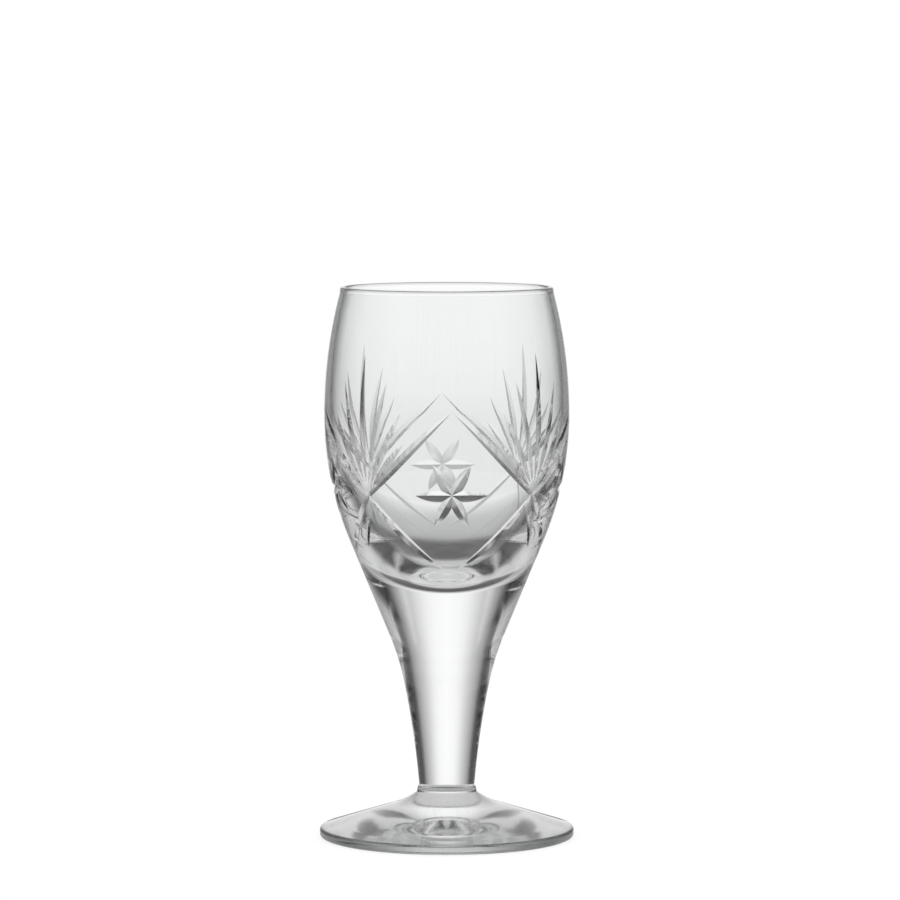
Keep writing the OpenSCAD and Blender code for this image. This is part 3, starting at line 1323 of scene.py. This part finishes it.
@dataclass(frozen=True)
class Studio:
    """White room: a tall backdrop behind the table, dark gaps beside it and paler walls round the front.

    Angles round are in degrees from the middle of the backdrop, the same to either side, and heights
    are in degrees above the level. The brightness is what the glass shows: the camera itself sees white.

    Attributes:
        turn: How far the room is turned round from the glass.
        walls: Brightness of the walls at angles round.
        rise: Share of it at heights.
        above_round: Brightness of the ceiling at angles round.
        above: Share of it at heights.
        below_round: Brightness of the ground past the table at angles round.
        below: Share of it at heights.
        mirrored: Share of the room that the glass mirrors, at angles round.
        table_r: Radius of the table top in metres.
        table: Brightness of the table top in the glass at distances from the axis in metres: painted light
            under the foot, a painted shadow ring round it and painted light further out.
        painted_light_by_angle: Share of it at angles round: painted light behind and in front of the
            glass, painted shade to its sides.
        painted_light_beneath_foot: Least brightness close to the foot, at those distances: a painted pool
            of light under the foot.
        painted_light_to_edge: Least brightness towards the table's edge, at those distances: painted
            light.
        painted_light_to_front: Least brightness of the table top at angles round: painted light towards
            the front.
        table_drop: How far the table top lies below the foot in millimetres.
        table_step: Degrees between the points of the table's edge.
        glow: Light that the table top gives to the camera.
        matt: Grey of the table top, which shows the shadow.
    """

    turn: float = -2.5
    walls: Stops = (
        (0, 1.02), (8, 0.98), (12.5, 0.9), (17, 0.76), (22, 0.6), (28.5, 0.44), (35, 0.28), (39, 0.14),
        (44, 0.06), (52, 0.04), (66, 0.05), (74, 0.25), (80, 0.5), (88, 0.6), (110, 0.6), (125, 0.7),
        (145, 0.7), (160, 0.65), (180, 0.6),
    )
    rise: Stops = (
        (-90, 0.85), (-8, 0.85), (-6, 0.88), (-5, 0.92), (-4, 0.96), (-3, 0.985), (0, 1.0), (28, 1.0),
        (40, 0.75), (55, 0.4), (90, 0.0),
    )
    above_round: Stops = (
        (0, 1.0), (26, 1.0), (32, 0.5), (37, 0.15), (41, 0.03), (72, 0.03), (84, 0.3), (100, 0.5),
        (180, 0.7),
    )
    above: Stops = (
        (-90, 0.0), (14, 0.0), (22, 0.5), (28, 0.85), (40, 0.8), (55, 0.5), (75, 0.4), (90, 0.35),
    )
    below_round: Stops = (
        (0, 1.0), (15, 1.0), (25, 0.7), (35, 0.55), (46, 0.5), (75, 0.5), (96, 0.55), (110, 0.8),
        (120, 1.0),
    )
    below: Stops = ((-90, 0.85), (-12, 0.85), (-6, 0.0), (90, 0.0))
    mirrored: Stops = (
        (0, 1.0), (9, 1.0), (14, 0.7), (20, 0.3), (28, 0.15), (60, 0.1), (90, 0.3), (180, 0.3),
    )
    table_r: float = 0.33
    table: Stops = (
        (0.0, 0.6), (0.045, 0.55), (0.052, 0.4), (0.058, 0.2), (0.065, 0.1), (0.075, 0.07), (0.1, 0.07),
        (0.125, 0.08), (0.132, 0.1), (0.14, 0.16), (0.148, 0.25), (0.156, 0.36), (0.165, 0.42),
        (0.19, 0.48), (0.23, 0.52), (0.26, 0.57), (0.3, 0.74), (0.33, 0.93),
    )
    painted_light_by_angle: Stops = (
        (0, 1.0), (15, 1.0), (25, 0.7), (35, 0.35), (46, 0.12), (56, 0.06), (96, 0.06), (110, 0.8),
        (120, 1.0),
    )
    painted_light_beneath_foot: Stops = (
        (0.0, 0.62), (0.045, 0.6), (0.052, 0.4), (0.06, 0.1), (0.08, 0.02), (0.33, 0.02),
    )
    painted_light_to_edge: Stops = ((0.0, 0.0), (0.18, 0.0), (0.23, 0.22), (0.28, 0.36), (0.33, 0.44))
    painted_light_to_front: Stops = ((0, 0.0), (76, 0.0), (84, 0.3), (92, 0.55), (114, 0.7), (180, 0.7))
    table_drop: float = 0.1
    table_step: float = 5.0
    glow: float = 0.75
    matt: float = 0.28

    @staticmethod
    def _ramp(t: Tree, value: bpy.types.NodeSocket, stops: list[Pair]) -> bpy.types.NodeSocket:
        """Places a colour ramp.

        Args:
            t: The tree.
            value: What the ramp follows, from 0 to 1.
            stops: Place and grey of each stop.

        Returns:
            The ramp's grey.
        """
        ramp = t.add("ShaderNodeValToRGB", {"Fac": value})
        elements = ramp.color_ramp.elements
        elements.remove(elements[1])
        for i, (place, grey) in enumerate(sorted(stops)):
            stop = elements[0] if i == 0 else elements.new(place)
            stop.position = place
            stop.color = (grey, grey, grey, 1.0)
        return ramp.outputs[0]

    @staticmethod
    def _round_share(t: Tree, way: bpy.types.NodeSocket) -> bpy.types.NodeSocket:
        """Angle of a direction round from +Y, as a share of half a turn."""
        x, y, _ = t.add("ShaderNodeSeparateXYZ", {0: way}).outputs
        return t.math("DIVIDE", t.math("ARCTAN2", t.math("ABSOLUTE", x), y), math.pi)

    @staticmethod
    def _in_glass(t: Tree) -> bpy.types.NodeSocket:
        """Is 1 for what is seen in or through the glass, and 0 for the rest."""
        ray = t.add("ShaderNodeLightPath").outputs
        return t.most(ray["Is Glossy Ray"], ray["Is Transmission Ray"])

    def _round_ramp(self, t: Tree, share: bpy.types.NodeSocket, stops: Stops) -> bpy.types.NodeSocket:
        """Grey along a share of half a turn, from stops in degrees."""
        return self._ramp(t, share, [(a / 180, grey) for a, grey in stops])

    def _height_ramp(self, t: Tree, share: bpy.types.NodeSocket, stops: Stops) -> bpy.types.NodeSocket:
        """Grey along a share of the way from nadir to zenith, from stops in degrees."""
        return self._ramp(t, share, [(a / 180 + 0.5, grey) for a, grey in stops])

    def _table_ramp(self, t: Tree, share: bpy.types.NodeSocket, stops: Stops) -> bpy.types.NodeSocket:
        """Grey along a share of the table's radius, from stops in metres."""
        return self._ramp(t, share, [(r / self.table_r, grey) for r, grey in stops])

    def light(self) -> None:
        """Makes the room: white to the camera, shaded to the glass, and even light on the table."""
        world = bpy.data.worlds.new("studio")
        bpy.context.scene.world = world
        world.use_nodes = True
        t = Tree(world.node_tree)
        way = t.add("ShaderNodeTexCoord").outputs["Generated"]
        squared = t.add(
            "ShaderNodeVectorRotate",
            {"Vector": way, "Angle": -math.radians(self.turn)},
            rotation_type="Z_AXIS",
        ).outputs[0]
        z = t.add("ShaderNodeSeparateXYZ", {0: squared}).outputs[2]
        around = self._round_share(t, squared)
        up = t.math("MULTIPLY_ADD", t.math("ARCSINE", z), 1 / math.pi, 0.5)
        parts = (
            (self.walls, self.rise),
            (self.above_round, self.above),
            (self.below_round, self.below),
        )
        room = t.most(
            *(
                t.math("MULTIPLY", self._round_ramp(t, around, level), self._height_ramp(t, up, heights))
                for level, heights in parts
            )
        )
        through = t.add("ShaderNodeLightPath").outputs["Is Transmission Ray"]
        mirrored = self._round_ramp(t, around, self.mirrored)
        share = t.add("ShaderNodeMix", {0: through, 2: mirrored, 3: 1.0}, data_type="FLOAT").outputs[0]
        shown = t.math("MULTIPLY", room, share)
        seen = t.add("ShaderNodeMix", {0: self._in_glass(t), 2: 1.0, 3: shown}, data_type="FLOAT")
        back = t.add("ShaderNodeBackground", {"Color": seen.outputs[0], "Strength": 1.0})
        t.add("ShaderNodeOutputWorld", {"Surface": back.outputs[0]})

    def floor(self) -> None:
        """Makes the table top: white with the glass's soft shadow to the camera, and in the glass grey
        with painted light and a painted shadow ring round the foot.
        """
        spokes = np.radians(np.arange(0, 360, self.table_step))
        rim = self.table_r / MM * np.column_stack((np.cos(spokes), np.sin(spokes), np.zeros(len(spokes))))
        piece = new_object("table_top", rim - (0, 0, self.table_drop), [list(range(len(spokes)))])
        made = bpy.data.materials.new("white_table")
        made.use_nodes = True
        t = Tree(made.node_tree)
        place = t.add("ShaderNodeTexCoord").outputs["Object"]
        length = t.add("ShaderNodeVectorMath", {0: place}, operation="LENGTH").outputs["Value"]
        away = t.math("DIVIDE", length, self.table_r)
        around = self._round_share(t, place)
        # Painted light and shade seen in the glass: a pool of light under the foot, a shadow ring round
        # it, light rising outwards and shade to the sides.
        grey = t.most(
            t.math(
                "MULTIPLY",
                self._table_ramp(t, away, self.table),
                self._round_ramp(t, around, self.painted_light_by_angle),
            ),
            self._table_ramp(t, away, self.painted_light_beneath_foot),
            self._table_ramp(t, away, self.painted_light_to_edge),
            self._round_ramp(t, around, self.painted_light_to_front),
        )
        shown = t.add("ShaderNodeEmission", {"Color": grey, "Strength": 1.0})
        glow = t.add("ShaderNodeEmission", {"Strength": self.glow})
        matt = t.add("ShaderNodeBsdfDiffuse", {"Color": (self.matt,) * 3 + (1.0,)})
        white = t.add("ShaderNodeAddShader", {0: glow.outputs[0], 1: matt.outputs[0]})
        in_glass = self._in_glass(t)
        both = t.add("ShaderNodeMixShader", {0: in_glass, 1: white.outputs[0], 2: shown.outputs[0]})
        t.add("ShaderNodeOutputMaterial", {"Surface": both.outputs[0]})
        piece.data.materials.append(made)


# Assembly


def hand_over(piece: bpy.types.Object, node: str, slot: str) -> None:
    """Puts a finished piece in its CAD node's place.

    Args:
        piece: The piece.
        node: The node.
        slot: The record's material slot; not used.
    """
    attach(piece, "root")
    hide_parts(node)
    LOG.info("%s: %d faces for %s", piece.name, len(piece.data.polygons), node)


def main() -> None:
    """Builds the glass piece by piece, then the studio."""
    logging.basicConfig(level=logging.INFO, format="%(name)s: %(message)s", stream=sys.stdout)
    bpy.context.scene.view_settings.view_transform = "Standard"
    cycles = bpy.context.scene.cycles
    cycles.max_bounces = cycles.transmission_bounces = cycles.transparent_max_bounces = GLASS_BOUNCES
    cycles.glossy_bounces = MIRROR_BOUNCES
    shop = Workshop()
    bowl = Bowl(height_of("bowl"), height_of("bowl", top=True))
    stem = Stem(height_of("stem"), bowl)
    collar = Collar(height_of("collar"), stem)
    foot = Foot(collar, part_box("foot")[1].x / MM)
    for part in (bowl, stem, collar, foot):
        hand_over(part.build(shop), part.NODE, part.SLOT)
    Camera().place()
    studio = Studio()
    studio.light()
    studio.floor()


if __name__ == "__main__":
    main()
